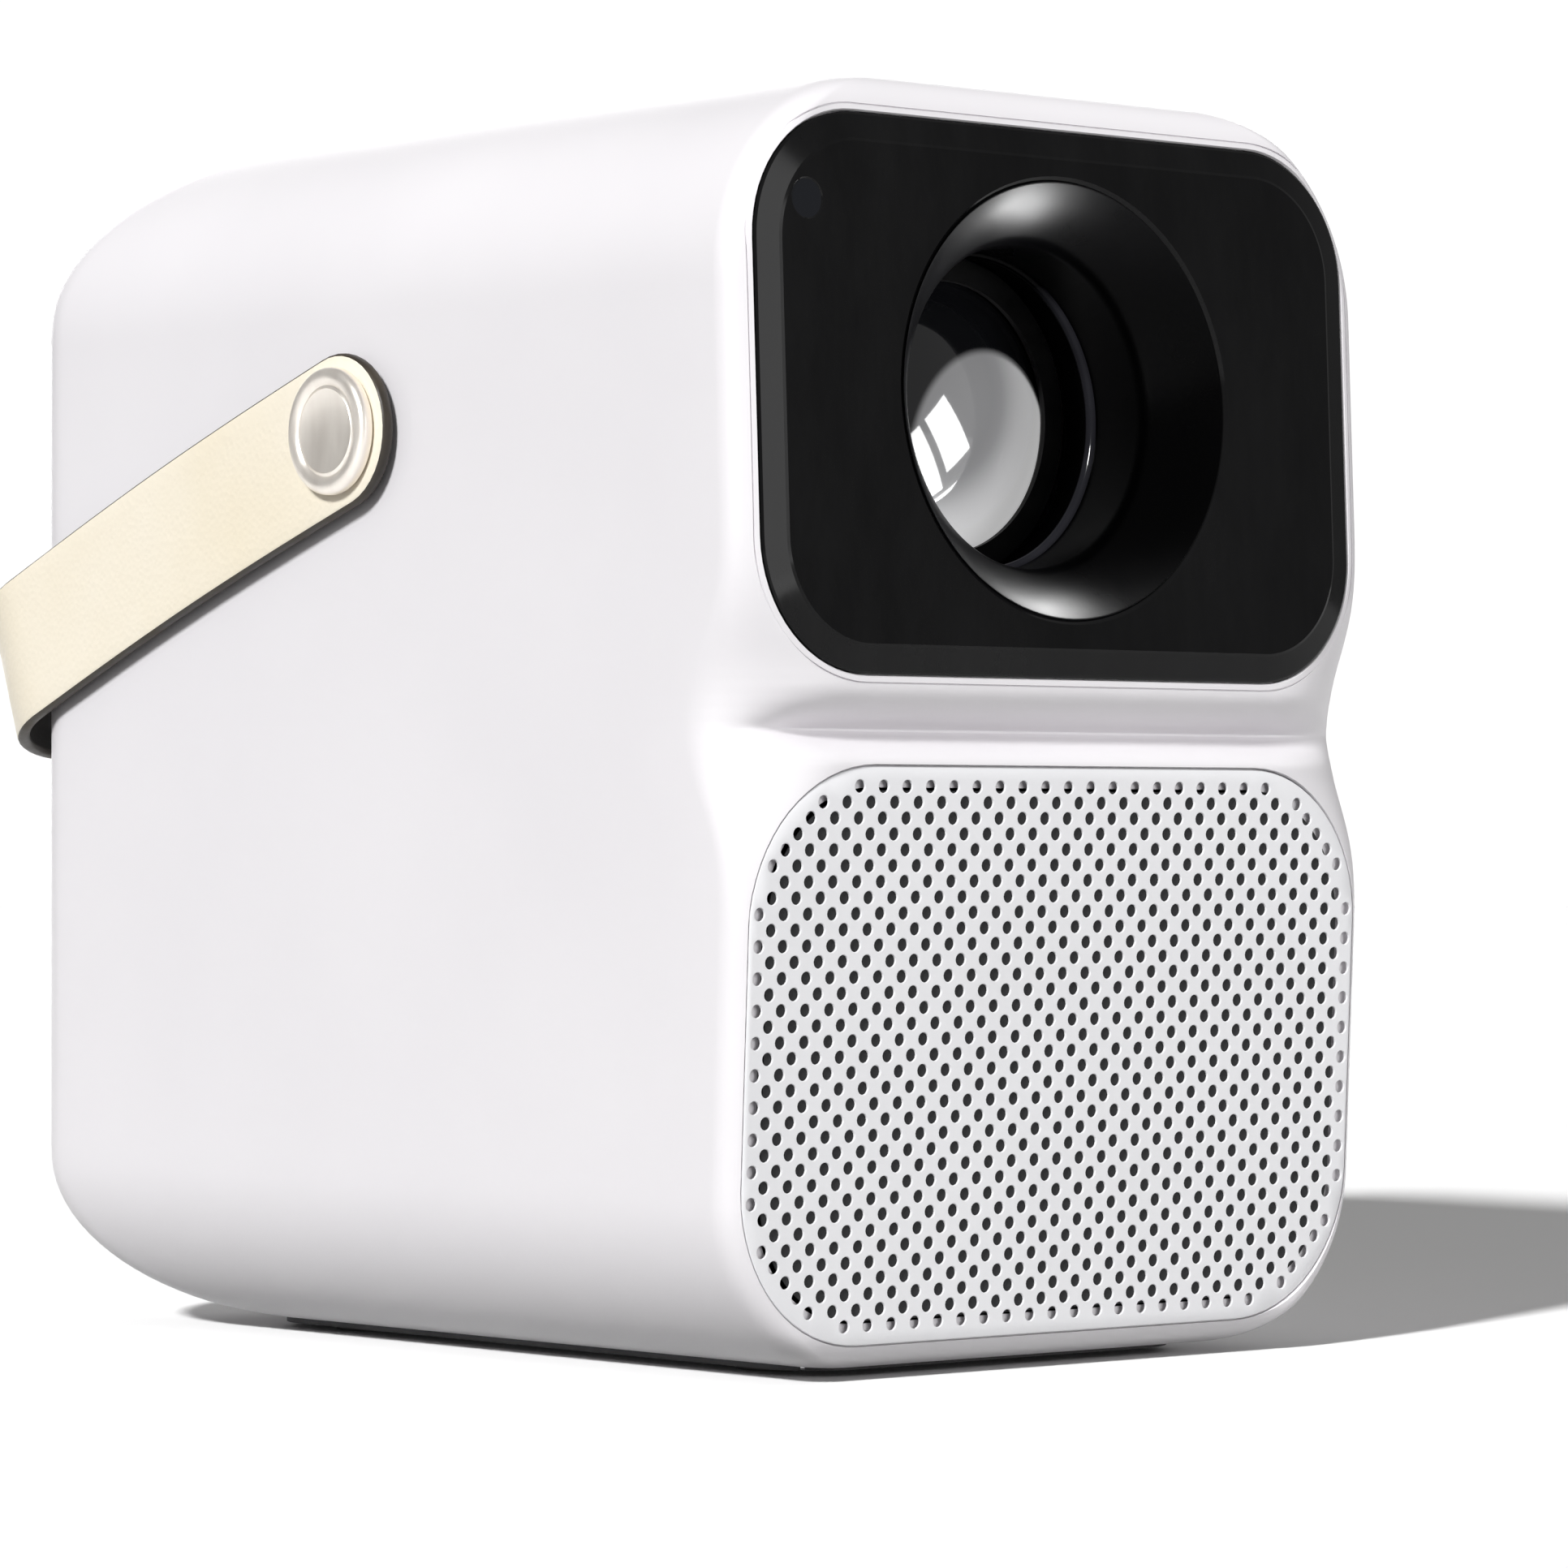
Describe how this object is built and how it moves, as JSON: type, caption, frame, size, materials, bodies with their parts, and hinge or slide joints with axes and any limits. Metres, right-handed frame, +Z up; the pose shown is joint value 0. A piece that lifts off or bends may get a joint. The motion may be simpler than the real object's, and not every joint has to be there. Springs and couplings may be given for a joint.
{
  "type": "home projector",
  "caption": "Upright white home projector: glossy black lens window with a deep round funnel above a perforated speaker grille, and a leather carry strap that swings on side buttons.",
  "frame": {"origin": "on the table, at the bottom centre of the whole object with its strap hanging behind it", "axes": "+Z up, the lens looks along -Y, +X is on the right of someone who faces the lens"},
  "size_m": [0.1576, 0.2276, 0.215],
  "materials": {
    "casing_white": "soft satin white moulded plastic",
    "base_dark": "fine grained dark moulded plastic",
    "rubber_black": "matt black rubber",
    "brass": "turned brass",
    "screw_steel": "bright zinc plated steel",
    "window_black": "polished black acrylic with a polished edge",
    "funnel_black": "polished black moulded ring",
    "sensor_glass": "small coated camera glass",
    "lens_glass": "coated optical glass",
    "grille_metal": "white powder-coated perforated steel",
    "speaker_black": "black textured plastic",
    "cone_paper": "dark pressed paper cone",
    "magnet_dark": "dark coated ferrite and steel",
    "barrel_black": "black anodised barrel",
    "inner_plastic": "dark grey moulded plastic",
    "gear_nylon": "natural nylon",
    "motor_steel": "drawn steel can",
    "panel_blue": "liquid crystal picture panel",
    "optic_clear": "clear optical plastic and glass",
    "ribbon_amber": "amber flexible circuit",
    "copper": "bare copper",
    "aluminium": "extruded aluminium",
    "fan_black": "black moulded plastic",
    "board_green": "green circuit board",
    "socket_steel": "plated steel socket shell",
    "strap_leather": "pale cream smooth leather with dark painted edges",
    "button_metal": "satin warm grey metal"
  },
  "bodies": {
    "casing": {"outer_shell": "casing_white", "rear_cover": "casing_white", "base_plate": "base_dark", "rubber_feet": "rubber_black", "tripod_insert": "brass", "base_screws": "screw_steel", "rear_screws": "screw_steel", "front_window": "window_black", "lens_funnel": "funnel_black", "autofocus_camera": "sensor_glass", "infrared_receiver": "inner_plastic", "speaker_grille": "grille_metal", "speaker_box": "speaker_black", "speaker_basket": "magnet_dark", "speaker_surround": "rubber_black", "speaker_cone": "cone_paper", "speaker_magnet": "magnet_dark", "speaker_screws": "screw_steel", "lens_mount": "inner_plastic", "focus_motor": "motor_steel", "engine_housing": "inner_plastic", "engine_lid": "inner_plastic", "front_fresnel": "optic_clear", "lcd_panel": "panel_blue", "lcd_ribbon": "ribbon_amber", "heat_glass": "optic_clear", "rear_fresnel": "optic_clear", "condenser_lens": "optic_clear", "led_module": "copper", "heat_sink": "aluminium", "heat_pipes": "copper", "fan_frame": "fan_black", "inner_frame": "inner_plastic", "main_board": "board_green", "hdmi_socket": "socket_steel", "usb_socket": "socket_steel", "audio_jack": "speaker_black", "wireless_module": "socket_steel", "power_supply": "board_green", "mains_inlet": "speaker_black", "button_spring": "screw_steel", "button_switch": "board_green", "strap_buttons": "button_metal", "strap_washers": "inner_plastic", "strap_nuts": "screw_steel"},
    "lens_group": {"lens_barrel": "barrel_black", "front_lens": "lens_glass", "middle_lens": "lens_glass", "rear_lens": "lens_glass"},
    "focus_ring": {"focus_ring": "gear_nylon"},
    "focus_pinion": {"focus_pinion": "brass"},
    "fan_rotor": {"fan_rotor": "fan_black"},
    "power_button": {"power_button": "casing_white"},
    "carry_strap": {"carry_strap": "strap_leather"}
  },
  "joints": [
    {"name": "strap_swing", "type": "hinge", "parent": "casing", "child": "carry_strap", "pos_m": [0, -0.00924, 0.1593], "axis": [1, 0, 0], "range_deg": [-5, 210]},
    {"name": "focus_turn", "type": "hinge", "parent": "casing", "child": "focus_ring", "pos_m": [0, -0.05244, 0.1615], "axis": [0, 1, 0], "range_deg": [0, 100]},
    {"name": "pinion_turn", "type": "hinge", "parent": "casing", "child": "focus_pinion", "pos_m": [0, -0.05244, 0.1175], "axis": [0, 1, 0], "range_deg": [-452, 2]},
    {"name": "lens_slide", "type": "slide", "parent": "casing", "child": "lens_group", "axis": [0, -1, 0], "range_m": [0, 0.004]},
    {"name": "fan_spin", "type": "hinge", "parent": "casing", "child": "fan_rotor", "pos_m": [0, 0.08127, 0.146], "axis": [0, 1, 0], "continuous": true},
    {"name": "button_press", "type": "slide", "parent": "casing", "child": "power_button", "axis": [0, 0, -1], "range_m": [0, 0.0012], "stiffness_N_per_m": 300, "springref_m": -0.004, "deforming": ["button_spring"]}
  ],
  "couplings": [
    {"joint": "focus_turn", "follows": "lens_slide", "rad_per_m": 436.33},
    {"joint": "pinion_turn", "follows": "lens_slide", "rad_per_m": -1963.5}
  ]
}
